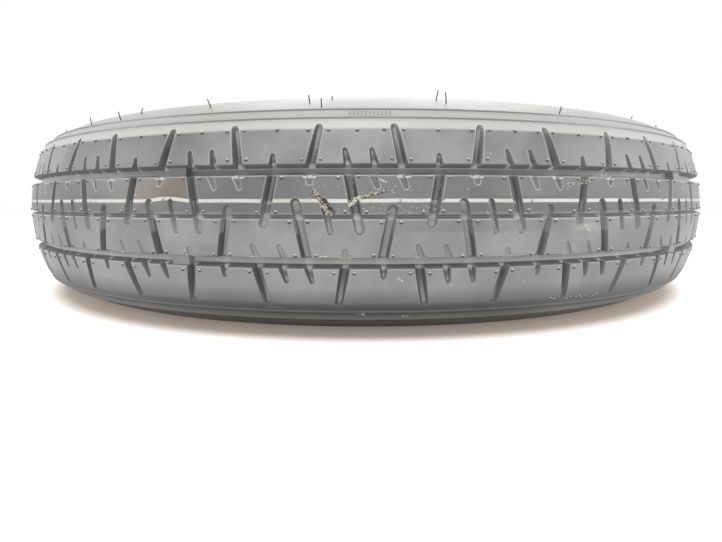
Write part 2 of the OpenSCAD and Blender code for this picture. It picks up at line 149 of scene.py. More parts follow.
class Tree:  # a geometry node tree with named inputs
    def __init__(self, name, **inputs):
        self.tree = bpy.data.node_groups.new(name, "GeometryNodeTree")
        face = self.tree.interface
        face.new_socket("Geometry", in_out="INPUT", socket_type="NodeSocketGeometry")
        self.keys = {}
        for key, kind in inputs.items():
            label = key[0].upper() + "".join(" " + c.lower() if c.isupper() else c for c in key[1:])
            made = face.new_socket(label, in_out="INPUT", socket_type="NodeSocket" + kind)
            self.keys[key] = (made.identifier, label)
        face.new_socket("Geometry", in_out="OUTPUT", socket_type="NodeSocketGeometry")
        self.start = self.tree.nodes.new("NodeGroupInput")
        self.end = self.tree.nodes.new("NodeGroupOutput")

    def input(self, key):
        return self.start.outputs[self.keys[key][1]]

    def add(self, kind, settings=None, out=0, **values):
        node = self.tree.nodes.new(kind)
        for key, value in (settings or {}).items():
            setattr(node, key, value)
        for name, value in values.items():
            label = name.replace("_", " ")
            socket = node.inputs[int(name[1:])] if name[1:].isdigit() else next(
                s for s in node.inputs if s.enabled and s.name == label)
            if isinstance(value, bpy.types.NodeSocket):
                self.tree.links.new(value, socket)
            else:
                socket.default_value = value
        return node.outputs[out]

    def finish(self, geometry, material):  # makes the copies real, sets their material and ends the tree
        real = self.add("GeometryNodeRealizeInstances", Geometry=geometry)
        done = self.add("GeometryNodeSetMaterial", Geometry=real, Material=self.input(material))
        self.tree.links.new(done, self.end.inputs["Geometry"])
        return self

    def bake(self, name, mesh, **values):  # runs the tree on a mesh and keeps the result
        source = bpy.data.objects.new(name + "Source", mesh)
        scene.collection.objects.link(source)
        modifier = source.modifiers.new("Nodes", "NODES")
        modifier.node_group = self.tree
        for key, value in values.items():
            modifier[self.keys[key][0]] = value
        bpy.context.view_layer.update()
        depsgraph = bpy.context.evaluated_depsgraph_get()
        baked = bpy.data.meshes.new_from_object(source.evaluated_get(depsgraph))
        source.modifiers.clear()
        bpy.data.objects.remove(source)
        baked.name = name
        return addPiece(name, baked)


def addPiece(name, mesh):
    piece = bpy.data.objects.new(name, mesh)
    scene.collection.objects.link(piece)
    return piece


def newMesh(name, points, faces):
    mesh = bpy.data.meshes.new(name)
    mesh.from_pydata([tuple(p) for p in points], [], [tuple(f) for f in faces])
    mesh.update()
    return mesh


view = {
    "focalPixels": 489.03, "imageWidth": 722, "distance": 0.51625, "height": 0.00781, "sensorWidth": 36,
    "pitch": 5.376, "yaw": -0.384, "roll": -0.092, "axisRow": 246.2, "middleRow": 271, "nearest": 0.01,
}


def addCamera():
    data = bpy.data.cameras.new("Camera")
    data.sensor_width = view["sensorWidth"]
    data.lens = view["focalPixels"] / view["imageWidth"] * view["sensorWidth"]
    data.shift_y = (view["axisRow"] - view["middleRow"]) / view["imageWidth"]
    data.clip_start = view["nearest"]
    camera = bpy.data.objects.new("Camera", data)
    yaw, pitch, roll = (math.radians(view[k]) for k in ("yaw", "pitch", "roll"))
    right = Vector((math.cos(yaw), -math.sin(yaw), 0))
    up = Vector((math.sin(pitch) * math.sin(yaw), math.sin(pitch) * math.cos(yaw), math.cos(pitch)))
    ahead = Vector((math.cos(pitch) * math.sin(yaw), math.cos(pitch) * math.cos(yaw), -math.sin(pitch)))
    rolledRight = math.cos(roll) * right + math.sin(roll) * up
    rolledUp = math.cos(roll) * up - math.sin(roll) * right
    turn = Matrix((rolledRight, rolledUp, -ahead)).transposed().to_4x4()
    camera.matrix_world = Matrix.Translation((0, -view["distance"], view["height"])) @ turn
    scene.collection.objects.link(camera)
    scene.camera = camera


floorLook = {  # painted shadow: the floor is tinted warm and glows less for the camera close to the wheel, between two radii in metres
    "colour": (0.92, 0.92, 0.91), "warm": (0.81, 0.69, 0.60), "lift": 0.75, "shadowLift": 0.21,
    "shadowFrom": 0.266, "shadowTo": 0.29, "size": 8.0,
}


def addFloor():
    sheet = newSheet("FloorPaper")
    seen = sheet.add("ShaderNodeLightPath", out="Is Camera Ray")
    flat = sheet.add("ShaderNodeVectorMath", {"operation": "MULTIPLY"}, sheet.ownPlace(), (1.0, 1.0, 0.0))
    reach = sheet.add("ShaderNodeVectorMath", {"operation": "LENGTH"}, flat, out="Value")
    # painted shadow: 0 in the warm ring under the tyre, 1 on the plain floor further out
    clean = sheet.step(reach, floorLook["shadowFrom"], floorLook["shadowTo"])
    colour = sheet.blend(clean, floorLook["warm"], floorLook["colour"])
    diffuse = sheet.add("ShaderNodeBsdfDiffuse", {}, Color=colour)
    # the camera-only glow is lower in the ring, which darkens the painted shadow
    shine = clean * (floorLook["lift"] - floorLook["shadowLift"]) + floorLook["shadowLift"]
    glow = sheet.add("ShaderNodeEmission", {}, Color=colour, Strength=seen * shine)
    both = sheet.add("ShaderNodeAddShader", {}, diffuse, glow)
    sheet.add("ShaderNodeOutputMaterial", {}, both)
    half, z = floorLook["size"] / 2, startBox[0][2]
    corners = [(-half, -half, z), (half, -half, z), (half, half, z), (-half, half, z)]
    mesh = newMesh("Floor", corners, [(0, 1, 2, 3)])
    mesh.materials.append(sheet.owner)
    addPiece("Floor", mesh)


lampLook = {
    "worldLight": 0.3, "mirrored": 1.0,
    "key": {"place": (-0.1, -1.0, 1.5), "size": 1.0, "power": 10.0, "colour": (1.0, 0.99, 0.97)},
    "back": {"place": (0.1, 0.95, 1.3), "size": 1.6, "power": 8.0, "colour": (1.0, 1.0, 1.0)},
    "front": {"place": (0.0, -1.7, 0.12), "size": 1.2, "power": 8.5, "colour": (1.0, 0.99, 0.98)},
    "left": {"place": (-1.3, -0.5, 0.4), "size": 0.8, "power": 4.5, "colour": (1.0, 1.0, 1.0)},
    "right": {"place": (1.3, -0.5, 0.4), "size": 0.8, "power": 5.5, "colour": (1.0, 1.0, 1.0)},
}


def addLight():
    for name in ("key", "back", "front", "left", "right"):
        look = lampLook[name]
        data = bpy.data.lights.new(name, "AREA")
        data.shape, data.size, data.energy, data.color = "DISK", look["size"], look["power"], look["colour"]
        lamp = bpy.data.objects.new(name + "Lamp", data)
        lamp.location = look["place"]
        lamp.rotation_euler = (Vector((0, 0, 0)) - lamp.location).to_track_quat("-Z", "Y").to_euler()
        scene.collection.objects.link(lamp)
    world = bpy.data.worlds.new("World")
    scene.world = world
    sheet = Sheet(world)
    seen, mirrored = (sheet.add("ShaderNodeLightPath", out=f"Is {kind} Ray") for kind in ("Camera", "Glossy"))
    dim = lampLook["worldLight"]
    strength = dim + seen * (1 - dim) + mirrored * (lampLook["mirrored"] - dim)
    background = sheet.add("ShaderNodeBackground", {}, Color=(1, 1, 1), Strength=strength)
    sheet.add("ShaderNodeOutputWorld", {}, background)


tyre = {  # lengths in mm, angles in degrees
    "radius": 290.5, "crownRadius": 120.0, "halfTread": 42.0, "halfSection": 62.5, "bulgeRise": 3.0,
    "crownThickness": 11.5, "sideThickness": 6.5, "beadWidth": 16.0, "beadEdge": 6.5,
    "rimRadius": 190.1, "rimHalf": 44.45, "flangeHeight": 17.3, "flangeRadius": 9.5, "rimGap": 0.1,
    "pulls": {"shoulder": 6.5, "bulgeOut": 19, "bulgeIn": 16, "bead": 6, "linerOut": 8, "linerIn": 22},
    "pairs": 23, "firstCut": -95.03, "pitchRadius": 288.0, "treadRadius": 290.0,
    "turnPoint": 0.104,  # share of a pair at which the pattern is the same after half a turn
    "endRamp": 0.5, "wideCut": 4.5, "wideRamp": 14.0, "narrowRamp": 5.0,  # cuts get shallower at their ends
    "edge": 0.35, "draft": 0.15, "fillet": 0.4, "apron": 0.5,  # rounded edge, leaning wall, filleted foot
    "scoopMark": 2, "shallow": 2.5, "edgeDepth": 1.6,  # marks: a scoop's, for its painted highlight, and the depths that limit the others
    "neighbours": 6.0,  # how far past its ends a pair still feels its neighbours' cuts
    "columns": 8, "rows": 15, "longestStep": 7.0, "clearance": 2.2,  # the mesh of the unrolled pair
    "sidewallStart": 46.6, "sidewallStep": 6.0, "lineHeight": 0.8, "lineHalf": (0.36, 0.5), "lines": (46.8, 51.7),
}
pairAngle = 360 / tyre["pairs"]
pairLength = math.radians(pairAngle) * tyre["pitchRadius"]


def crown(z):
    return tyre["radius"] - tyre["crownRadius"] + math.sqrt(tyre["crownRadius"] ** 2 - z * z)


def bezier(p, count, first=0):
    steps = [i / count for i in range(first, count + 1)]
    a, b, c, d = (np.array(q, float) for q in p)
    return [(1 - t) ** 3 * a + 3 * t * (1 - t) ** 2 * b + 3 * t * t * (1 - t) * c + t ** 3 * d for t in steps]


def arc(centre, radius, start, end, count):
    angles = [math.radians(start + (end - start) * i / count) for i in range(count + 1)]
    return [np.array(centre) + radius * np.array((math.cos(a), math.sin(a))) for a in angles]


def halfSection():  # upper half as [radius, height]: tread, sidewall, bead, then the liner back to the middle
    t, pulls = tyre, tyre["pulls"]  # a pull is the length of a curve's handle
    rim, side = t["rimRadius"], t["halfSection"]
    bulge = (t["radius"] + rim) / 2 + t["bulgeRise"]
    tilt = math.asin(t["halfTread"] / t["crownRadius"])
    corner = np.array((crown(t["halfTread"]), t["halfTread"]))
    shoulder = corner + pulls["shoulder"] * np.array((-math.sin(tilt), math.cos(tilt)))
    flange = np.array((rim + t["flangeHeight"] - t["flangeRadius"], t["rimHalf"] + t["flangeRadius"]))
    around, diagonal = t["flangeRadius"] + t["rimGap"], math.sqrt(0.5)
    touch = flange + around * np.array((diagonal, -diagonal))
    seat = touch + pulls["bead"] * np.array((diagonal, diagonal))
    points = [np.array((crown(z), z)) for z in np.linspace(0, t["halfTread"], 43)]
    points += bezier([corner, shoulder, (bulge + pulls["bulgeOut"], side), (bulge, side)], 48, 1)
    toBulge = len(points)
    points += bezier([(bulge, side), (bulge - pulls["bulgeIn"], side), seat, touch], 20, 1)
    toRim = len(points)
    points += arc(flange, around, -45, -90, 4)[1:]
    heel = (rim + t["beadEdge"], t["rimHalf"] - t["beadEdge"])
    points += arc(heel, t["beadEdge"] - t["rimGap"], 90, 180, 5)
    toe, inner = t["rimHalf"] - t["beadWidth"], side - t["sideThickness"]
    points += [np.array((rim - 0.5, toe + 2)), np.array((rim + 0.8, toe))]
    liner = (bulge - pulls["linerIn"], inner)
    points += bezier([(rim + 5, toe), (rim + 21, toe + 5), liner, (bulge, inner)], 6)
    turn = t["halfTread"] - pulls["linerOut"]
    lean, inside = math.asin(turn / t["crownRadius"]), crown(turn) - t["crownThickness"]
    pulled = (inside - pulls["linerOut"] * math.sin(lean), turn + pulls["linerOut"] * math.cos(lean))
    points += bezier([(bulge, inner), (bulge + pulls["bulgeIn"], inner), pulled, (inside, turn)], 6, 1)
    points.append(np.array((crown(turn / 2) - t["crownThickness"], turn / 2)))
    points.append(np.array((t["radius"] - t["crownThickness"], 0)))
    return np.array(points), toBulge, toRim


sectionPoints, bulgeCount, outerCount = halfSection()
sectionRun = np.concatenate([[0], np.cumsum(np.linalg.norm(np.diff(sectionPoints, axis=0), axis=1))])
sectionSlope = np.gradient(sectionPoints, sectionRun, axis=0)


def onSection(run):  # radius, height and outward normal at a distance from the tread's middle, along the section
    size = np.abs(run)
    r, z, dr, dz = (np.interp(size, sectionRun, column) for column in (*sectionPoints.T, *sectionSlope.T))
    length = np.hypot(dr, dz)
    sign = np.where(run < 0, -1, 1)
    return r, z * sign, dz / length, -dr / length * sign


def runAt(z):  # distance along the section of a height on the tread or the shoulder, below 0 for the lower half
    run = np.interp(abs(z), sectionPoints[:bulgeCount, 1], sectionRun[:bulgeCount])
    return math.copysign(float(run), z)


# each cut runs from [share of a pair, height] to [share, height]; width and depth are in mm
upperCuts = [
    {"from": (-0.003, 22.1), "to": (0.047, 42.3), "width": 4.9, "depth": 4.6, "taper": 0.25},
    {"from": (0.556, 22.1), "to": (0.506, 42.3), "width": 4.9, "depth": 4.6, "taper": 0.25},
    {"from": (0.232, 22.1), "to": (0.207, 31.2), "width": 4.4, "depth": 3.2, "taper": 0.5},
    {"from": (0.392, 22.1), "to": (0.367, 31.2), "width": 4.4, "depth": 3.2, "taper": 0.5},
    {"from": (0.770, 22.1), "to": (0.770, 28.7), "width": 4.2, "depth": 3.2, "taper": 0.45},
    {"from": (-0.220, 22.1), "to": (-0.281, -3.4), "width": 4.7, "depth": 4.5},
    {"from": (0.225, 22.1), "to": (0.294, -6.4), "width": 4.7, "depth": 4.5},
    {"from": (0.000, 22.1), "to": (0.000, 16.4), "width": 2.9, "depth": 1.2},
    {"from": (0.360, 22.1), "to": (0.400, 13.8), "width": 3.4, "depth": 1.2, "taper": 0.4},
    {"from": (0.528, 22.1), "to": (0.568, 13.8), "width": 3.4, "depth": 1.2, "taper": 0.4},
    {"from": (-0.034, 18.95), "to": (0.034, 18.95), "width": 1.7, "depth": 0.8, "scoop": True},
    {"from": (0.522, 18.95), "to": (0.590, 18.95), "width": 1.7, "depth": 0.8, "scoop": True},
]
crossSlot = {"from": (0.086, 7.1), "to": (0.122, -7.1), "width": 3.0, "depth": 3.0, "closed": True}
cutMarks = ("cutDepth", "wall", "edge")  # what the mesh carries about its cuts, for the rubber's colours, which paint shade on the walls and highlights on the edges and scoops
ringGrooves = [
    {"at": 22.1, "width": 5.2, "depth": 5.0},
    {"at": 0.0, "width": 1.9, "depth": 3.4},
    {"at": -22.1, "width": 5.2, "depth": 5.0},
]


def halfTurned(cut):
    return {**cut, **{k: (2 * tyre["turnPoint"] - cut[k][0], -cut[k][1]) for k in ("from", "to")}}


def allCuts():  # segments in mm on the unrolled tread, with their copies in the neighbouring pairs
    cuts = []
    for c in [*upperCuts, *(halfTurned(cut) for cut in upperCuts), crossSlot]:
        for shift in (-2, -1, 0, 1, 2):
            a, b = (np.array(((c[k][0] + shift) * pairLength, runAt(c[k][1]))) for k in ("from", "to"))
            first, last = min(a[0], b[0]), max(a[0], b[0])
            if last > -tyre["neighbours"] and first < pairLength + tyre["neighbours"]:
                cuts.append({**c, "a": a, "b": b, "half": c["width"] / 2})
    return cuts


def wallDepth(inside, depth):  # depth of a cut at a distance inside its outline: rounded edge, wall, filleted foot
    edge, draft, fillet = tyre["edge"], tyre["draft"] * depth, min(tyre["fillet"], depth / 3)
    out = np.clip((inside + edge) / edge, 0, 1)
    rim = edge * (1 - np.sqrt(np.clip(1 - out ** 2, 0, 1)))
    wall = edge + np.clip(inside / draft, 0, 1) * (depth - fillet - edge)
    low = np.clip((inside - draft) / fillet, 0, 1)
    foot = depth - fillet + fillet * np.sqrt(np.clip(1 - (1 - low) ** 2, 0, 1))
    return np.where(inside <= 0, rim, np.where(inside < draft, wall, foot))


def cutsAt(points, cuts):  # depth, share of wall and share of edge at places on the unrolled tread
    edge, apron = tyre["edge"], tyre["apron"]
    deepest, wall, rim = (np.zeros(len(points)) for _ in range(3))
    insides = []
    for c in cuts:
        way = c["b"] - c["a"]
        t = np.clip((points - c["a"]) @ way / (way @ way), 0, 1)
        gap = np.linalg.norm(points - c["a"] - t[:, None] * way, axis=1)
        if "scoop" in c:
            scooped = np.clip((c["half"] - gap) / c["half"], 0, 1)
            deepest = np.maximum(deepest, c["depth"] * scooped)
            rim = np.maximum(rim, tyre["scoopMark"] * np.clip(scooped * 4, 0, 1))
            continue
        rise = tyre["wideRamp"] if c["width"] > tyre["wideCut"] else tyre["narrowRamp"]
        ramp = 1 - tyre["endRamp"] * np.clip(1 - (1 - t) * np.linalg.norm(way) / rise, 0, 1) ** 2
        half = c["half"] * (1 - c.get("taper", 0) * t)
        insides.append((half - gap, c["depth"], ramp))
    for g in ringGrooves:
        gap = np.abs(points[:, 1] - runAt(g["at"]))
        insides.append((g["width"] / 2 - gap, g["depth"], 1))
    for inside, depth, ramp in insides:
        found, draft = wallDepth(inside, depth) * ramp, tyre["draft"] * depth
        share = np.interp(inside, (-edge, 0, draft, draft + tyre["fillet"]), (0, 1, 1, 0))
        wall = np.where(found > deepest, share * min(1, depth / tyre["shallow"]), wall)
        rim = np.maximum(rim, np.interp(inside, (-edge - apron, -edge, 0, draft), (0, 1, 0.7, 0)))
        deepest = np.maximum(deepest, found)
    return deepest, wall, np.where(deepest > tyre["edgeDepth"], 0, rim)


def lineOffsets(depth):  # distances out from a cut's outline at which the mesh has its lines
    edge, draft = tyre["edge"], tyre["draft"] * depth
    return edge + tyre["apron"], edge, 0, -draft, -draft - min(tyre["fillet"], depth / 3)


def outlines(c):  # the rings round a cut, as open or closed lines
    way = c["b"] - c["a"]
    length = np.linalg.norm(way)
    way = way / length
    side = np.array((-way[1], way[0]))
    count = max(1, round(length / tyre["longestStep"]))
    turns = [math.pi * i / 4 for i in range(5)]
    lines = []
    for offset in lineOffsets(c["depth"]):
        first, last = c["half"] + offset, c["half"] * (1 - c.get("taper", 0)) + offset
        if last < 0.2:  # too narrow for a ring
            continue
        along = [(first + (last - first) * i / count, way * length * i / count) for i in range(count)]
        line = [c["a"] + side * radius + step for radius, step in along]
        line += [c["b"] + last * (side * math.cos(a) + way * math.sin(a)) for a in turns]
        line += [c["a"] - side * radius + step for radius, step in reversed(along)]
        if "closed" in c or "scoop" in c:
            line += [c["a"] - first * (side * math.cos(a) + way * math.sin(a)) for a in turns[1:]]
        lines.append(line)
    return lines


def treadPair():  # one pair of blocks, unrolled: points as [mm round, mm across], their marks and triangles
    cuts = allCuts()
    step, rim = pairLength / tyre["columns"], tyre["sidewallStart"]
    lines = [line for c in cuts for line in outlines(c)]
    columns = [step * i for i in range(-1, tyre["columns"] + 2)]
    levels = [-rim, rim]
    for g in ringGrooves:
        at, half = runAt(g["at"]), g["width"] / 2
        offsets = [half + o for o in lineOffsets(g["depth"]) if half + o > 0.1]
        levels += [at] + [at + o for o in offsets] + [at - o for o in offsets]
    lines += [[np.array((u, v)) for u in columns] for v in levels]
    rows = np.linspace(-rim, rim, tyre["rows"])
    lines += [[np.array((u, v)) for v in rows] for u in (0, pairLength)]
    points, edges = [], []
    for line in lines:
        edges += [(len(points) + i, len(points) + i + 1) for i in range(len(line) - 1)]
        points += line
    spare = np.array([(u + j % 2 * step / 2, v) for j, v in enumerate(rows[1:-1]) for u in columns])
    widened = [{**c, "half": c["half"] + tyre["clearance"]} for c in cuts]
    points += list(spare[cutsAt(spare, widened)[0] == 0])
    found = delaunay_2d_cdt([Vector(p) for p in points], edges, [], 0, 1e-4, False)
    flat = np.array([tuple(p) for p in found[0]])
    faces = np.array([f for f in found[2] if len(f) == 3])
    middle = flat[faces].mean(axis=1)
    faces = faces[(middle[:, 0] > 0) & (middle[:, 0] < pairLength) & (np.abs(middle[:, 1]) < rim)]
    a, b, c = (flat[faces[:, i]] for i in range(3))
    area = (b[:, 0] - a[:, 0]) * (c[:, 1] - a[:, 1]) - (b[:, 1] - a[:, 1]) * (c[:, 0] - a[:, 0])
    kept = np.abs(area) > 1e-5  # without the flat slivers
    faces, area = faces[kept], area[kept]
    faces[area < 0] = faces[area < 0][:, ::-1]
    used, faces = np.unique(faces, return_inverse=True)
    flat = flat[used]
    return flat, cutsAt(flat, cuts), faces.reshape(-1, 3)


def sidewallRows():  # distances along the section, finer at the two raised lines
    near, far = tyre["lineHalf"]
    rows = [tyre["sidewallStart"], runAt(tyre["lines"][0]) - 1.2]
    for z in tyre["lines"]:
        rows += [runAt(z) + o for o in (-far, -near, near, far)]
    last, end = rows[-1], sectionRun[outerCount - 1]
    count = round((end - last) / tyre["sidewallStep"])
    rows += [last + (end - last) * (i + 1) / count for i in range(count)]
    return rows + list(sectionRun[outerCount:])


def toWheel(along, run, depth):  # unrolled places to the wheel's frame, in metres
    r, z, outR, outZ = onSection(run)
    r, z = r - outR * depth, z - outZ * depth
    angle = np.radians(tyre["firstCut"] + along / pairLength * pairAngle)
    return np.stack([r * np.cos(angle), r * np.sin(angle), z], axis=1) * mm


def pairMesh():
    flat, marks, faces = treadPair()
    points, polygons = [toWheel(flat[:, 0], flat[:, 1], marks[0])], [tuple(f) for f in faces]
    rows = sidewallRows()
    columns = np.linspace(0, pairLength, tyre["columns"] + 1)
    width, raisedWithin = len(columns), sum(tyre["lineHalf"]) / 2
    for sign in (1, -1):
        base = sum(len(p) for p in points)
        for run in rows:
            raised = tyre["lineHeight"] * any(abs(run - runAt(z)) < raisedWithin for z in tyre["lines"])
            points.append(toWheel(columns, np.full(width, run * sign), np.full(width, -raised)))
        for j in range(len(rows) - 1):
            for i in range(width - 1):
                near, far = base + j * width + i, base + (j + 1) * width + i
                quad = (near, near + 1, far + 1, far)
                polygons.append(quad if sign > 0 else quad[::-1])
    mesh = newMesh("TreadPair", np.concatenate(points), polygons)
    for name, values in zip(cutMarks, marks):
        layer = mesh.attributes.new(name, "FLOAT", "POINT")
        layer.data.foreach_set("value", np.pad(values, (0, len(mesh.vertices) - len(values))).astype(np.float32))
    mesh.polygons.foreach_set("use_smooth", [True] * len(mesh.polygons))
    return mesh


def ringTree():  # repeats a piece round the wheel's axis and welds the copies
    tree = Tree("RoundTheWheel", pairs="Int", weldDistance="Float", rubber="Material")
    line = tree.add("GeometryNodeMeshLine", Count=tree.input("pairs"), Offset=(0, 0, 0))
    index = tree.add("GeometryNodeInputIndex")
    step = tree.add("ShaderNodeMath", {"operation": "DIVIDE"}, _0=2 * math.pi, _1=tree.input("pairs"))
    turn = tree.add("ShaderNodeMath", {"operation": "MULTIPLY"}, _0=index, _1=step)
    rotation = tree.add("ShaderNodeCombineXYZ", Z=turn)
    pair = tree.start.outputs["Geometry"]
    copies = tree.add("GeometryNodeInstanceOnPoints", Points=line, Instance=pair, Rotation=rotation)
    real = tree.add("GeometryNodeRealizeInstances", Geometry=copies)
    welded = tree.add("GeometryNodeMergeByDistance", Geometry=real, Distance=tree.input("weldDistance"))
    return tree.finish(welded, "rubber")


rubberPalette = {  # the tints by name, then the painted line and the gloss; the dark wall, floor and bare-rubber tints paint shade (the wall tint also darkens the grain), the pale edge and scoop tints paint highlights (the edge tint also makes pale specks), and the pale film and settled dust also paint light in places
    "rubber": (0.192, 0.200, 0.199), "wall": (0.10, 0.108, 0.108), "floor": (0.115, 0.124, 0.124),
    "film": (0.50, 0.50, 0.485), "settledDustAndSheen": (0.46, 0.46, 0.45), "edge": (0.68, 0.69, 0.67),
    # the dark bare-rubber tint here is used as painted shade, and the scoop tint is a painted highlight
    "scoop": (0.72, 0.72, 0.70), "clean": (0.05, 0.055, 0.058), "tan": (0.165, 0.133, 0.102),
    "stripe": (0.70, 0.685, 0.64), "yellow": (0.61, 0.58, 0.46), "stripeAt": 7.6, "stripeWidth": 1.75,
    "stripeEdge": (0.42, 0.54),  # shares of its width between which the stripe fades
    "roughness": 0.42, "coat": 0.35, "coatRoughness": 0.3, "grainDepth": 0.00012,
}
patches = [  # turns from the front, heights, colour and strength of a tint
    ((-24.5, -16.5), (7.0, 19.5), "tan", 0.8),
    ((-38.0, -17.0), (24.0, 41.0), "clean", 0.5),
    ((17.0, 30.0), (24.0, 41.0), "clean", 0.32),
    ((-52.0, -28.0), (2.0, 20.0), "clean", 0.4),
    ((19.0, 34.0), (2.0, 20.0), "clean", 0.36),
    # painted shade over the upper wear bar at the front
    ((-21.5, -16.2), (19.0, 25.2), "clean", 0.75),
    ((21.8, 24.0), (-7.5, -4.0), "stripe", 0.30),
    ((3.0, 19.0), (-20.0, -7.0), "film", 0.15),
    ((-35.0, -16.0), (-43.0, -2.0), "film", 0.12),
    ((12.0, 18.0), (10.0, 20.0), "film", 0.10),
]
patchSoftness = {"turn": 2.0, "height": 0.7}
zones = {  # where a tint comes in, where it goes out, and its strength; in mm, or in degrees from the front
    "cloud": ((0.35, 0.68), None, 1), "middle": ((1.0, 3.0), (18.5, 20.0), 1), "below": (None, (-1.0, 1.0), 1),
    "lowerHalf": (None, (-12.0, -1.0), 0.13), "lowerRibs": (None, (-27.0, -23.0), 0.15),
    "ends": ((36.0, 50.0), (62.0, 75.0), 1), "upper": ((-2.0, 2.0), None, 0.22),
    "sidewall": ((40.6, 42.4), None, 1), "outside": ((218.0, 261.0), None, 1),
    "corner": ((40.8, 42.0), (44.0, 47.0), 0.38), "lowShoulder": ((33.0, 42.0), None, 0.5),
    "under": ((41.0, 44.5), None, 1), "underSides": ((8.0, 30.0), None, 0.5), "underFoot": ((46.0, 51.0), None, 0.35),
    "line": (None, (0.25, 0.5), 0.75), "lowLine": (None, (0.3, 0.7), 0.06),
    "ring": (None, (2.7, 3.1), 1), "ringUp": ((21.6, 24.2), None, 0.4), "ringSides": ((20.0, 42.0), None, 0.4),
    "narrow": (None, (1.3, 1.9), 1), "shoulder": ((27.0, 39.0), None, 0.5),
    "slotDepth": ((2.7, 2.9), (3.3, 3.6), 0.55), "slot": ((24.4, 24.9), (25.0, 28.5), 1),
    "tipDepth": (None, (2.6, 4.0), 1), "tip": ((1.2, 2.2), (7.0, 9.0), 1),
    "lowRib": (None, (18.5, 20.0), 1), "lowDepth": ((3.0, 3.8), None, 0.55), "cut": ((1.8, 2.4), None, 0.9),
    "edgeUp": ((-0.1, 0.6), None, 0.5), "edgeTop": ((37.5, 41.5), None, 0.35), "edgeLow": ((33.0, 39.0), None, 0.8),
    "scoop": ((1.0, 1.6), None, 1), "scoopUp": ((0.0, 0.4), None, 0.6), "lit": ((-0.5, 0.5), None, 0.4),
    "footDepth": ((3.6, 4.2), None, 1), "foot": ((0.0, 1.0), None, 1),
    "bow": ((-112.0, -98.0), (-97.0, -84.0), 1.2), "dip": ((1.0, 3.0), None, 0.8),
    "yellow": ((0.52, 0.64), None, 0.6), "aged": ((-11.0, -9.0), (-4.9, -4.6), 0.8),
    "inCut": ((0.8, 2.0), None, 0.6), "worn": ((0.28, 0.42), None, 1),
    "speck": ((0.70, 0.74), None, 0.45), "speckCloud": ((0.45, 0.6), None, 1), "grain": ((0.62, 0.75), None, 0.12),
}
strengths = {  # how far a tint goes, 0 to 1; ragged and waver are in mm
    "film": 0.35, "filmLess": 0.2, "unevenFilm": 0.9, "middle": 0.46, "ends": 0.45, "under": 0.9, "ragged": 5.0,
    "ringBelow": 0.8, "tip": 0.55, "tipFaint": 0.75, "narrow": 0.5, "narrowWall": 0.6, "edge": 0.06,
    "edgeMiddle": 0.12, "wall": 0.5, "wallBelow": 0.2, "foot": 0.6, "waver": 0.8, "stripe": 0.95,
}
spots = {  # scale and detail of each noise on the rubber
    "cloud": (24, 4), "film": (130, 3), "grain": (900, 3), "waver": (38, 2), "yellow": (17, 2), "worn": (260, 3),
    "speck": (420, 2), "speckCloud": (30, 2),
}


class RubberSheet(Sheet):  # what the rubber's tints read, and its colour so far
    def __init__(self, name):
        super().__init__(bpy.data.materials.new(name))
        self.at = self.ownPlace()
        x, y, z = (self.add("ShaderNodeSeparateXYZ", {}, self.at, out=axis) * (1 / mm) for axis in "XYZ")
        normalX, normalY, self.tilt = (self.facing(axis) for axis in "XYZ")
        self.x, self.z, self.low, self.high = x, z, 0 - z, abs(z)
        self.reach = (x * x + y * y).maths("SQRT")
        self.turn = x.maths("ARCTAN2", 0 - y) * math.degrees(1)  # from the front
        self.sideways = (x * normalY - y * normalX) / tyre["treadRadius"]
        self.depth, self.wall, self.edge = (
            self.add("ShaderNodeAttribute", {"attribute_name": mark}, out="Fac") for mark in cutMarks)
        self.cloud, self.grain = self.spots("cloud"), self.spots("grain")
        self.film = self.zone(self.cloud, "cloud") + (self.spots("film") - 0.5) * strengths["unevenFilm"]
        self.middle, self.below = self.zone(z, "middle"), self.zone(z, "below")
        self.colour = rubberPalette["rubber"]

    def spots(self, name):
        return self.noise(self.at, *spots[name])

    def zone(self, value, name):
        rise, fall, strength = zones[name]
        if rise and fall:
            share = self.band(value, rise, fall)
        else:
            share = self.step(value, *rise) if rise else 1 - self.step(value, *fall)
        return share if strength == 1 else share * strength

    def tint(self, amount, name):
        self.colour = self.blend(amount, self.colour, rubberPalette[name])


def layDustAndPaintedLight(s, by):  # film on the ribs and settled dust on the sidewall, with painted light and shade: a darker middle rib, lighter lower ribs and ends, a painted highlight on the upper corner, and painted shade on the lower shoulder and underside
    # pale dust film, thinner on the upper middle rib as part of its painted shade
    s.tint(s.film * (by["film"] - s.middle * by["filmLess"]), "film")
    # painted shade on the upper middle rib
    s.tint(s.middle * by["middle"], "clean")
    # painted light from the floor below: the lower half lighter, the lowest ribs more so
    s.tint(s.zone(s.z, "lowerHalf") + s.zone(s.z, "lowerRibs"), "film")
    # painted reflection: the far left and right ends lighter, less on the upper half
    s.tint(s.zone(abs(s.turn), "ends") * (by["ends"] - s.zone(s.z, "upper")), "film")
    # settled dust with painted sheen on the upper sidewall, ragged at its outer edge
    s.tint(s.zone(s.z, "sidewall") * s.zone(s.reach + s.film * by["ragged"], "outside"), "settledDustAndSheen")
    # painted highlight along the upper shoulder's corner
    s.tint(s.zone(s.z, "corner"), "edge")
    # painted shade on the lower shoulder
    s.tint(s.zone(s.low, "lowShoulder"), "clean")
    # painted shade under the tyre, weaker away from the front and at the lowest edge
    under = by["under"] - s.zone(abs(s.turn), "underSides") - s.zone(s.low, "underFoot")
    s.tint(s.zone(s.low, "under") * under, "clean")


def softEnds(ends, by):
    return [(end - by, end + by) for end in ends]


def tintPatches(s):
    for turns, heights, colour, strength in patches:
        across = s.band(s.turn, *softEnds(turns, patchSoftness["turn"]))
        upright = s.band(s.z, *softEnds(heights, patchSoftness["height"]))
        s.tint(across * upright * (s.cloud + 0.5) * strength, colour)
    # the raised lines: painted shadow on the upper ones, a faint painted highlight on the lower ones
    for line in tyre["lines"]:
        s.tint(s.zone(abs(s.z - line), "line"), "wall")
        s.tint(s.zone(abs(s.z + line), "lowLine"), "edge")


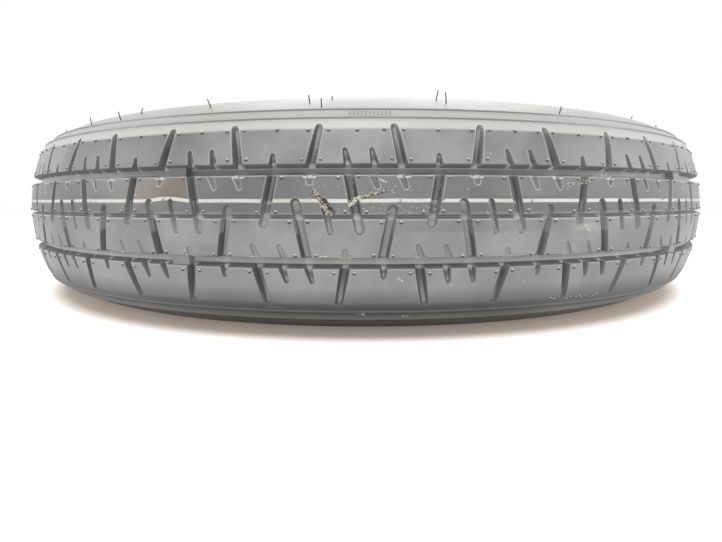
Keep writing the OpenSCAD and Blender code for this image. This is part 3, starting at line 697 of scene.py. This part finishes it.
def tintCuts(s, by):  # painted light and shade in the cuts: floors first, dark with painted light where light reaches them, then painted highlights on edges and scoops, painted shade on walls, and a pale painted highlight line at the upper groove's feet
    ring = s.zone(abs(s.high - ringGrooves[0]["at"]), "ring")
    narrow = s.zone(s.high, "narrow")
    tip = s.zone(s.depth, "tipDepth") * s.zone(s.high, "tip")
    # painted light on cut floors: near the shoulder, in slots, below the middle, at tips, in the narrow groove and
    # parts of the upper groove
    light = s.zone(s.high, "shoulder") + s.zone(s.depth, "slotDepth") * s.zone(s.high, "slot")
    light = light + s.below * ring * by["ringBelow"] + tip * by["tip"] + narrow * by["narrow"]
    light = light + ring * (s.zone(s.z, "ringUp") + s.zone(abs(s.turn), "ringSides"))
    light = light + s.below * s.zone(s.high, "lowRib") * s.zone(s.depth, "lowDepth")
    # painted shade on the cut floors, lifted by the painted light above
    floor = s.blend(light, rubberPalette["floor"], rubberPalette["film"])
    s.colour = s.blend(s.zone(s.depth, "cut"), s.colour, floor)
    faint = 1 - tip * by["tipFaint"]
    # painted highlight on cut edges, stronger where they face up and near the upper shoulder, with some pale dust
    edgeDustAndHighlight = by["edge"] + s.middle * by["edgeMiddle"] + s.zone(s.tilt, "edgeUp") + s.zone(s.z, "edgeTop")
    s.tint(s.edge.maths("MINIMUM", 1.0) * faint * edgeDustAndHighlight * (1 - s.zone(s.low, "edgeLow")), "edge")
    # painted highlight on scoops that face up
    s.tint(s.zone(s.edge, "scoop") * s.zone(s.tilt, "scoopUp"), "scoop")
    # painted shade on cut walls, darker on walls that face right and below the middle
    shade = by["wall"] + s.zone(s.sideways, "lit") + s.below * by["wallBelow"]
    s.tint(s.wall * faint * shade * (1 - narrow * by["narrowWall"]), "wall")
    halfWay = s.wall * (1 - s.wall) * 4  # 1 half way down a wall's foot
    # painted highlight: a pale line along the feet of the upper groove's walls
    s.tint(s.zone(s.depth, "footDepth") * ring * s.zone(s.z, "foot") * halfWay * by["foot"], "edge")


def paintStripe(s, by):
    wander = (s.spots("waver") - 0.5) * by["waver"] - s.zone(s.x, "bow")
    away = abs(s.z - rubberPalette["stripeAt"] + wander + s.zone(s.depth, "dip"))
    near, far = (rubberPalette["stripeWidth"] * share for share in rubberPalette["stripeEdge"])
    yellowed = s.zone(s.spots("yellow"), "yellow") + s.zone(s.turn, "aged")
    paint = s.blend(yellowed, rubberPalette["stripe"], rubberPalette["yellow"])
    left = (1 - s.wall) * (1 - s.zone(s.depth, "inCut")) * s.zone(s.spots("worn"), "worn")
    s.colour = s.blend((1 - s.step(away, near, far)) * left * by["stripe"], s.colour, paint)


def rubberLook():
    s = RubberSheet("TyreRubber")
    layDustAndPaintedLight(s, strengths)
    tintPatches(s)
    tintCuts(s, strengths)
    paintStripe(s, strengths)
    s.tint(s.zone(s.spots("speck"), "speck") * s.zone(s.spots("speckCloud"), "speckCloud"), "edge")
    s.tint(s.zone(s.grain, "grain"), "wall")
    rough = rubberPalette["roughness"] + s.film * 0.12 + s.wall * 0.2
    relief = s.bump(s.grain, rubberPalette["grainDepth"], 0.5)
    coat, coatRoughness = rubberPalette["coat"], rubberPalette["coatRoughness"]
    return s.finish(
        Base_Color=s.colour, Roughness=rough, Normal=relief, Coat_Weight=coat, Coat_Roughness=coatRoughness)


def addTyre():
    look = rubberLook()
    piece = ringTree().bake(
        "treadAndSidewalls", pairMesh(), pairs=tyre["pairs"], weldDistance=2e-6, rubber=look)
    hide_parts("tyre")
    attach(piece, "wheel")
    print("tyre:", len(piece.data.polygons), "faces")
    return look


def rubberWithPaintedTopLight(name, dark, light, roughness):  # bare rubber with painted light: lighter where it faces up
    sheet = newSheet(name)
    worn = sheet.noise(sheet.ownPlace(), 600, 2)
    upwards = sheet.step(sheet.facing("Z"), 0.0, 0.8)
    # painted light: the top blends towards the light colour, unevenly
    colour = sheet.blend(upwards * (0.6 + worn * 0.5), dark, light)
    return sheet.finish(Base_Color=colour, Roughness=roughness + worn * 0.1)


def pointMesh(name, points, edges=(), **marks):  # loose points with vectors or numbers on them, for a tree
    mesh = bpy.data.meshes.new(name)
    mesh.from_pydata([tuple(p) for p in points], list(edges), [])
    for key, values in marks.items():
        values = np.array(values, np.float32)
        kind, field = ("FLOAT_VECTOR", "vector") if values.ndim == 2 else ("FLOAT", "value")
        mesh.attributes.new(key, kind, "POINT").data.foreach_set(field, values.ravel())
    return mesh


def onWheel(angle, run, lift=0.0):  # place and outward direction, angles in degrees from the front
    r, z, outR, outZ = (float(v) for v in onSection(np.array(run)))
    turn = math.radians(angle - 90)
    out = Vector((outR * math.cos(turn), outR * math.sin(turn), outZ))
    return Vector((r * math.cos(turn), r * math.sin(turn), z)) * mm + out * lift * mm, out


# the stubs are painted dark underneath and painted with a highlight on top
stubs = {
    "radius": 0.95, "height": 0.75, "aside": 4.7, "rows": (41.0, 26.8, 18.4, 2.4), "between": (0.28, 0.78),
    "seed": 7, "dark": (0.105, 0.108, 0.11), "light": (0.85, 0.85, 0.83), "roughness": 0.25,
}


def stubPlaces():  # beside each cross groove, and between two of them on the shoulders
    found = []
    for c in upperCuts:
        if c["width"] <= tyre["wideCut"]:
            continue
        a, b = (np.array((c[k][0] * pairLength, c[k][1])) for k in ("from", "to"))
        for z in stubs["rows"]:
            share = (z - a[1]) / (b[1] - a[1])
            if 0 < share < 1:
                middle = a[0] + (b[0] - a[0]) * share
                found += [(middle - stubs["aside"], z), (middle + stubs["aside"], z)]
    shoulder = stubs["rows"][0]
    found += [(share * pairLength, shoulder) for share in stubs["between"]]
    return found + [(2 * tyre["turnPoint"] * pairLength - u, -z) for u, z in found if z < shoulder]


def domeTree():  # a small dome on each point, pointing out
    tree = Tree("Domes", radius="Float", height="Float", seed="Int", rubber="Material")
    ball = tree.add("GeometryNodeMeshUVSphere", Segments=8, Rings=6, Radius=1.0)
    smooth = tree.add("GeometryNodeSetShadeSmooth", Geometry=ball)
    out = tree.add("GeometryNodeInputNamedAttribute", {"data_type": "FLOAT_VECTOR"}, Name="out")
    aim = tree.add("FunctionNodeAlignRotationToVector", {"axis": "Z"}, Vector=out)
    size = tree.add("FunctionNodeRandomValue", {"data_type": "FLOAT"}, out=1, _2=0.8, _3=1.15, Seed=tree.input("seed"))
    wide = tree.add("ShaderNodeMath", {"operation": "MULTIPLY"}, _0=size, _1=tree.input("radius"))
    scale = tree.add("ShaderNodeCombineXYZ", X=wide, Y=wide, Z=tree.input("height"))
    points = tree.start.outputs["Geometry"]
    copies = tree.add("GeometryNodeInstanceOnPoints", Points=points, Instance=smooth, Rotation=aim, Scale=scale)
    return tree.finish(copies, "rubber")


def addStubs():
    look = rubberWithPaintedTopLight("StubRubber", stubs["dark"], stubs["light"], stubs["roughness"])
    chance = random.Random(stubs["seed"])
    places = []
    for pair in range(tyre["pairs"]):
        for u, z in stubPlaces():
            u += chance.uniform(-0.5, 0.5)
            angle = tyre["firstCut"] + 90 + (u / pairLength + pair) * pairAngle
            places.append(onWheel(angle, runAt(z) + chance.uniform(-0.4, 0.4), -0.1))
    mesh = pointMesh("StubPlaces", [p for p, _ in places], out=[tuple(o) for _, o in places])
    piece = domeTree().bake(
        "ventStubs", mesh, radius=stubs["radius"] * mm, height=stubs["height"] * mm, seed=stubs["seed"], rubber=look)
    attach(piece, "wheel")
    print("vent stubs:", len(places))


hairs = {  # angle from the front, height on the sidewall, sideways lean and length, in degrees and mm
    "radius": 0.3, "highest": 65.5, "dark": (0.02, 0.021, 0.022), "light": (0.05, 0.05, 0.05), "roughness": 0.5,
    "seen": [
        (-37.2, 53, -2.0, 5.1), (-30.5, 53, -2.2, 5.2), (-28.4, 56.5, 1.6, 3.5), (-17.7, 56.5, -2.0, 4.6),
        (-5.9, 56.5, -0.6, 4.2), (-4.4, 53, -0.2, 4.9), (-3.6, 59, 0.0, 1.9), (8.2, 59, 1.1, 5.4),
        (9.0, 56.5, -0.4, 5.6), (22.3, 53, 1.6, 4.2), (44.5, 61, 3.2, 3.0),
    ],
    "behind": 26, "behindFrom": 60, "behindOver": 250, "seed": 3,
}


def hairTree():  # thin round strands along the lines of a mesh
    tree = Tree("Strands", radius="Float", rubber="Material")
    line = tree.add("GeometryNodeMeshToCurve", Mesh=tree.start.outputs["Geometry"])
    ring = tree.add("GeometryNodeCurvePrimitiveCircle", Resolution=6, Radius=tree.input("radius"))
    tube = tree.add("GeometryNodeCurveToMesh", Curve=line, Profile_Curve=ring, Fill_Caps=True)
    return tree.finish(tube, "rubber")


def chain(points, edges, count):  # joins the last points in a line
    edges += [(len(points) - count + i, len(points) - count + 1 + i) for i in range(count - 1)]


def addHairs(tree):
    look = rubberWithPaintedTopLight("HairRubber", hairs["dark"], hairs["light"], hairs["roughness"])
    chance = random.Random(hairs["seed"])
    strands = list(hairs["seen"])
    for i in range(hairs["behind"]):
        angle = hairs["behindFrom"] + hairs["behindOver"] * i / hairs["behind"] + chance.uniform(-4, 4)
        strands.append((angle, chance.choice((53, 56.5, 59)), chance.uniform(-2, 2), chance.uniform(2.5, 5)))
    points, edges = [], []
    for angle, z, lean, length in strands:
        foot, out = onWheel(angle, runAt(z), -0.3)
        turn = math.radians(angle)
        side = Vector((math.cos(turn), math.sin(turn), 0))
        tip = foot + (side * lean + Vector((0, 0, length))) * mm
        tip.z = min(tip.z, hairs["highest"] * mm)
        for share in (0, 1 / 3, 2 / 3, 1):
            points.append(foot.lerp(tip, share) + out * 0.5 * mm * math.sin(math.pi * share))
        chain(points, edges, 4)
    mesh = pointMesh("StrandLines", points, edges)
    piece = tree.bake("ventHairs", mesh, radius=hairs["radius"] * mm, rubber=look)
    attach(piece, "wheel")
    print("vent hairs:", len(strands))


ridgeStrip = {  # a short row of fine ridges on the upper shoulder, in degrees and mm
    "from": -1.47, "to": 2.6, "count": 11, "heights": (47.6, 50.6), "width": 0.7, "lift": 0.35, "sunk": 0.1,
    "radius": 278, "narrowing": 0.6, "dark": (0.31, 0.31, 0.30), "light": (0.34, 0.34, 0.33), "roughness": 0.5,
}
wearBars = {  # low bars across the two wide grooves
    "first": -18.85, "count": 6, "length": 2.3, "groove": 22.1, "width": 4.9, "below": 1.3, "floor": 5.2,
    "narrowing": 0.9,
}


def blockOnWheel(points, faces, angles, heights, lifts, narrowing):  # a block on the section with a narrower top
    base, middle = len(points), sum(angles) / 2
    left, right = (middle + (angle - middle) * narrowing for angle in angles)
    corners = ((angles[0], lifts[0]), (left, lifts[1]), (right, lifts[1]), (angles[1], lifts[0]))
    for z in heights:
        points += [onWheel(angle, runAt(z), lift)[0] for angle, lift in corners]
    sides = [(0, 1, 5, 4), (1, 2, 6, 5), (2, 3, 7, 6), (3, 0, 4, 7), (0, 3, 2, 1), (4, 5, 6, 7)]
    faces += [tuple(base + k for k in side) for side in sides]


def addBlocks(rubber):
    r, w = ridgeStrip, wearBars
    ridges, bars = ([], []), ([], [])
    half = math.degrees(r["width"] / 2 / r["radius"])
    for i in range(r["count"]):
        angle = r["from"] + (r["to"] - r["from"]) * i / (r["count"] - 1)
        lifts = (-r["sunk"], r["lift"])
        blockOnWheel(*ridges, (angle - half, angle + half), r["heights"], lifts, r["narrowing"])
    for i in range(w["count"]):
        angle = w["first"] + 360 / w["count"] * i
        for side in (-w["groove"], w["groove"]):
            ends = (angle - w["length"] / 2, angle + w["length"] / 2)
            heights = (side - w["width"] / 2, side + w["width"] / 2)
            blockOnWheel(*bars, ends, heights, (-w["floor"], -w["below"]), w["narrowing"])
    # the ridges' pale grey matches the settled dust and painted sheen around them, with painted light on their tops
    dusty = rubberWithPaintedTopLight("RidgeRubber", r["dark"], r["light"], r["roughness"])
    for name, (points, faces), look in (("shoulderRidges", ridges, dusty), ("wearBars", bars, rubber)):
        mesh = newMesh(name, points, faces)
        mesh.materials.append(look)
        piece = addPiece(name, mesh)
        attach(piece, "wheel")
    print("ridges and wear bars:", r["count"], 2 * w["count"])


crumbs = {  # a trail has two ends as [angle from the front, height], grains, spread and size in mm, and tone
    "seed": 11, "flatness": 0.6, "dark": (0.04, 0.038, 0.03), "sand": (0.62, 0.59, 0.46), "chip": (0.78, 0.76, 0.72),
    "speckled": (0.25, 0.22, 0.18),
    "trails": [
        ((-4.75, 12.4), (-3.0, 0.8), 170, 1.1, 0.46, 0.52),
        ((-3.8, 8.2), (-2.7, 2.0), 60, 0.6, 0.48, 0.1),
        ((-1.3, 7.8), (1.9, 12.0), 130, 0.9, 0.42, 0.52),
        ((-1.4, 5.2), (-0.5, 9.2), 60, 0.85, 0.52, 0.85),
        ((1.45, 17.4), (2.0, 15.8), 16, 0.3, 0.40, 1.0),
        ((1.9, 14.3), (2.8, 10.8), 6, 0.9, 0.34, 1.0),
        ((-3.0, 3.0), (6.5, 4.0), 60, 2.6, 0.25, 0.85),
        ((-5.0, 15.0), (7.0, 14.0), 50, 3.4, 0.23, 0.85),
        ((-4.15, -18.5), (-3.3, -18.5), 14, 0.12, 0.30, 1.0),
        ((3.15, -29.2), (3.6, -30.6), 16, 0.35, 0.38, 0.95),
        ((-0.7, -48.4), (0.0, -48.4), 10, 0.2, 0.36, 0.9),
        ((3.9, -50.0), (4.5, -50.1), 9, 0.15, 0.32, 0.9),
        ((-21.1, 15.2), (-20.7, 14.8), 6, 0.2, 0.36, 1.0),
        ((19.5, 14.5), (26.5, 21.5), 64, 1.8, 0.34, 1.0),
        ((22.6, -5.4), (23.2, -8.0), 30, 0.8, 0.36, 1.0),
        ((20.0, -43.0), (30.0, -44.0), 26, 1.2, 0.32, 0.85),
        ((-30.0, -9.0), (-22.0, -12.0), 12, 2.6, 0.22, 0.8),
    ],
}


def crumbTree():  # an angular grain on each point, turned at random
    tree = Tree("Grains", flatness="Float", seed="Int", dirt="Material")
    grain = tree.add("GeometryNodeMeshIcoSphere", Subdivisions=1, Radius=1.0)
    turn = tree.add(
        "FunctionNodeRandomValue", {"data_type": "FLOAT_VECTOR"}, _0=(0, 0, 0), _1=(3, 3, 6), Seed=tree.input("seed"))
    size = tree.add("GeometryNodeInputNamedAttribute", {"data_type": "FLOAT"}, Name="size")
    flat = tree.add("ShaderNodeMath", {"operation": "MULTIPLY"}, _0=size, _1=tree.input("flatness"))
    scale = tree.add("ShaderNodeCombineXYZ", X=size, Y=size, Z=flat)
    points = tree.start.outputs["Geometry"]
    copies = tree.add("GeometryNodeInstanceOnPoints", Points=points, Instance=grain, Rotation=turn, Scale=scale)
    return tree.finish(copies, "dirt")


def crumbLook():  # dark, sandy or pale after each grain's own tone
    sheet = newSheet("SandAndChips")
    tone = sheet.add("ShaderNodeAttribute", {"attribute_name": "tone"}, out="Fac")
    grain = sheet.noise(sheet.ownPlace(), 1500, 2)
    colour = sheet.blend(sheet.step(tone, 0.15, 0.4), crumbs["dark"], crumbs["sand"])
    colour = sheet.blend(sheet.step(tone, 0.6, 0.9), colour, crumbs["chip"])
    colour = sheet.blend(grain * 0.3, colour, crumbs["speckled"])
    return sheet.finish(Base_Color=colour, Roughness=0.75 + grain * 0.2)


def addCrumbs():
    chance = random.Random(crumbs["seed"])
    points, sizes, tones = [], [], []
    for start, end, count, spread, usual, tone in crumbs["trails"]:
        for _ in range(count):
            share = chance.random()
            angle, z = (a + (b - a) * share for a, b in zip(start, end))
            z += chance.gauss(0, 0.5) * spread
            angle += math.degrees(chance.gauss(0, 0.5) * spread / tyre["treadRadius"])
            size = usual * chance.uniform(0.5, 1.4)
            points.append(onWheel(angle, runAt(z), size * 0.15)[0])
            sizes.append(size * mm)
            tones.append(min(1.0, max(0.0, tone + chance.uniform(-0.5, 0.2))))
    mesh = pointMesh("GrainPlaces", points, size=sizes, tone=tones)
    piece = crumbTree().bake(
        "sandAndChips", mesh, flatness=crumbs["flatness"], seed=crumbs["seed"], dirt=crumbLook())
    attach(piece, "wheel")
    print("grains of dirt:", len(points))


scratches = {  # light strokes on the rubber, as pairs of [angle from the front, height]
    "radius": 0.09, "dark": (0.26, 0.265, 0.26), "light": (0.48, 0.48, 0.47), "roughness": 0.7,
    "strokes": [
        ((-2.6, -11.0), (-1.4, -11.3)), ((-2.4, -12.2), (-1.2, -12.5)), ((-2.2, -13.3), (-1.1, -13.4)),
        ((-2.5, -14.5), (-1.2, -14.8)), ((0.3, -34.0), (0.95, -32.8)), ((0.5, -35.2), (1.0, -34.7)),
        ((2.9, -26.0), (3.3, -28.2)), ((4.0, -31.0), (4.5, -33.0)), ((-9.9, -45.2), (-8.4, -44.9)),
        ((-6.4, 41.0), (-5.6, 32.0)), ((-10.6, 38.0), (-10.3, 31.0)), ((-11.6, 38.5), (-11.4, 33.0)),
        ((20.0, 15.0), (22.5, 18.5)), ((21.5, 15.5), (24.5, 20.5)), ((23.5, 17.0), (25.5, 21.0)),
        ((20.5, 18.0), (21.5, 20.5)), ((8.0, -7.0), (9.3, -8.2)), ((12.0, -12.0), (14.0, -11.2)),
        ((-14.0, -30.0), (-12.0, -30.6)), ((15.5, -33.0), (17.5, -32.0)),
    ],
}


def addScratches(tree):
    sheet = newSheet("ScratchMarks")
    colour = sheet.blend(sheet.noise(sheet.ownPlace(), 500), scratches["dark"], scratches["light"])
    look = sheet.finish(Base_Color=colour, Roughness=scratches["roughness"])
    points, edges = [], []
    for (angleA, zA), (angleB, zB) in scratches["strokes"]:
        for i in range(5):
            angle, z = angleA + (angleB - angleA) * i / 4, zA + (zB - zA) * i / 4
            points.append(onWheel(angle, runAt(z))[0])
        chain(points, edges, 5)
    mesh = pointMesh("StrokeLines", points, edges)
    piece = tree.bake("scratches", mesh, radius=scratches["radius"] * mm, rubber=look)
    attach(piece, "wheel")
    print("scratches:", len(scratches["strokes"]))


finishes = {  # colour where clean, colour of dust or tarnish, metal or not, roughness, grain's scale, its depth in mm
    "black_paint": ((0.020, 0.020, 0.022), (0.17, 0.165, 0.155), 0.0, 0.30, 420, 0.03),
    "weld": ((0.028, 0.027, 0.028), (0.15, 0.13, 0.11), 0.0, 0.42, 900, 0.25),
    "valve_rubber": ((0.022, 0.022, 0.023), (0.14, 0.14, 0.135), 0.0, 0.55, 1500, 0.03),
    "brass": ((0.66, 0.50, 0.24), (0.34, 0.24, 0.12), 1.0, 0.24, 2500, 0.01),
    "cap_plastic": ((0.020, 0.020, 0.021), (0.12, 0.12, 0.115), 0.0, 0.45, 2200, 0.02),
    "red_seal": ((0.42, 0.045, 0.035), (0.30, 0.12, 0.10), 0.0, 0.50, 3000, 0.01),
    "spring_steel": ((0.58, 0.59, 0.61), (0.38, 0.37, 0.35), 1.0, 0.22, 3000, 0.01),
}


def finishLook(name):  # most dust lies in patches on what faces up
    clean, dusty, metal, rough, grainScale, grainDepth = finishes[name]
    sheet = newSheet("".join(part.capitalize() for part in name.split("_")))
    at = sheet.ownPlace()
    upwards = sheet.step(sheet.facing("Z"), 0.1, 0.9)
    patch = sheet.step(sheet.noise(at, 28, 4) + upwards * 0.25, 0.5, 0.85)
    grain = sheet.noise(at, grainScale)
    colour = sheet.blend(patch * (0.15 + grain * 0.4), clean, dusty)
    roughness = patch * 0.25 + grain * 0.12 + (rough - 0.06)
    relief = sheet.bump(grain, grainDepth * mm, 0.6)
    return sheet.finish(Base_Color=colour, Roughness=roughness, Metallic=metal, Normal=relief)


def dressNodes(rubber):  # the carried-over nodes get these finishes, slot by slot
    looks = {name: finishLook(name) for name in finishes}
    looks["tyre_rubber"] = rubber
    for part in frame["record"]["subparts"]:
        for slot in frame["nodes"][part["node"]].material_slots:
            slot.material = looks[part["material_slot"]]
    print("finishes:", len(looks))


addCamera()
addFloor()
addLight()
print("camera, floor and lamps are in")
rubber = addTyre()
addStubs()
strandTree = hairTree()
addHairs(strandTree)
addBlocks(rubber)
addCrumbs()
addScratches(strandTree)
dressNodes(rubber)

scene.view_settings.view_transform = "Standard"
